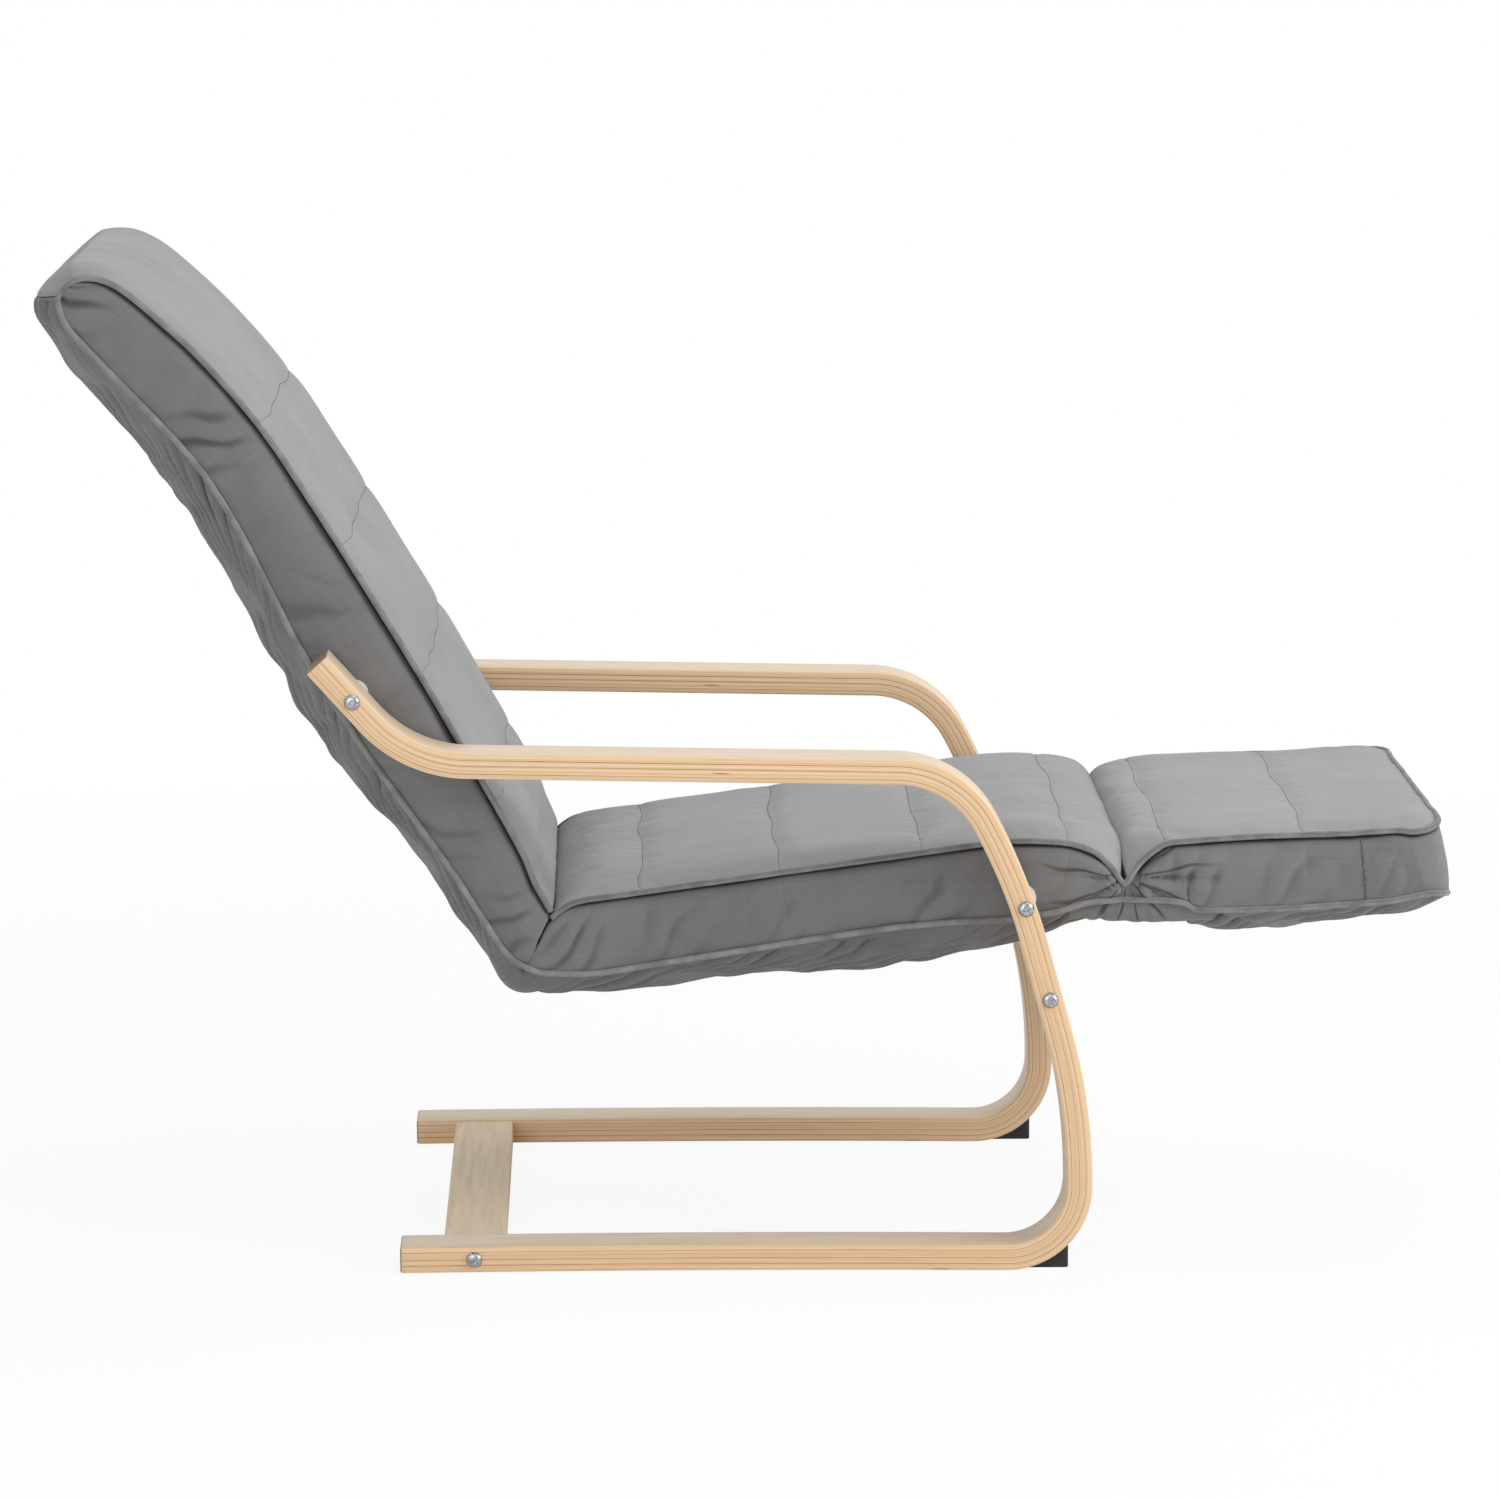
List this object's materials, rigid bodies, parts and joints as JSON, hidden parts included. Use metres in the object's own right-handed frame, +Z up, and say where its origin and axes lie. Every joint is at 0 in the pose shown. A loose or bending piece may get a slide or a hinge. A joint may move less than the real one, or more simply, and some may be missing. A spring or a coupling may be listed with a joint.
{
  "type": "bentwood recliner chair",
  "caption": "Bentwood armchair on springy cantilever sides, with a quilted reclined seat and a footrest that folds down on ratchet hinges.",
  "frame": {"origin": "on the floor, under the middle of the chair's length and width, with the footrest raised", "axes": "+X forwards to the sitter's feet, +Y to the sitter's left, +Z up"},
  "size_m": [1.4118, 0.6786, 0.999],
  "materials": {
    "birch": "satin",
    "zinc_steel": "satin",
    "coated_steel": "satin",
    "white_plastic": "matte",
    "black_rubber": "matte",
    "webbing": "matte",
    "grey_fabric": "matte"
  },
  "bodies": {
    "chair": {"side_frame_right": "birch", "side_frame_left": "birch", "base_crossbar": "birch", "front_crossbar": "birch", "crossbar_dowels": "birch", "crossbar_barrel_nuts": "zinc_steel", "crossbar_bolts": "zinc_steel", "seat_bolts": "zinc_steel", "foot_screws": "zinc_steel", "frame_inserts": "zinc_steel", "hinge_cheeks_right": "zinc_steel", "hinge_cheeks_left": "zinc_steel", "hinge_rivets": "zinc_steel", "pawl_pins": "zinc_steel", "pawl_washers": "zinc_steel", "rail_rivets": "zinc_steel", "back_frame": "coated_steel", "corner_tube": "coated_steel", "lumbar_tubes": "coated_steel", "seat_rail_right": "coated_steel", "seat_rail_left": "coated_steel", "seat_front_tube": "coated_steel", "frame_spacers": "white_plastic", "front_foot_right": "black_rubber", "front_foot_left": "black_rubber", "seat_straps": "webbing", "back_straps": "webbing", "back_pad": "grey_fabric", "seat_pad": "grey_fabric", "back_cover": "grey_fabric", "seat_cover": "grey_fabric", "hinge_fabric": "grey_fabric"},
    "footrest": {"footrest_frame": "coated_steel", "footrest_cross_tube": "coated_steel", "footrest_straps": "webbing", "footrest_rivets": "zinc_steel", "footrest_pad": "grey_fabric", "footrest_cover": "grey_fabric", "ratchet_disc_right": "zinc_steel", "ratchet_disc_left": "zinc_steel"},
    "pawl_right": {"pawl_right": "zinc_steel"},
    "pawl_left": {"pawl_left": "zinc_steel"}
  },
  "joints": [
    {"name": "footrest_hinge", "type": "hinge", "parent": "chair", "child": "footrest", "pos_m": [0.39827, 0, 0.37016], "axis": [0, 1, 0], "range_deg": [0, 85], "deforming": ["hinge_fabric"]},
    {"name": "pawl_right_pin", "type": "hinge", "parent": "chair", "child": "pawl_right", "pos_m": [0.35427, 0, 0.35416], "axis": [0, 1, 0], "range_deg": [-6, 0]},
    {"name": "pawl_left_pin", "type": "hinge", "parent": "chair", "child": "pawl_left", "pos_m": [0.35427, 0, 0.35416], "axis": [0, 1, 0], "range_deg": [-6, 0]}
  ],
  "couplings": [
    {"joint": "pawl_left_pin", "follows": "pawl_right_pin", "ratio": 1}
  ]
}
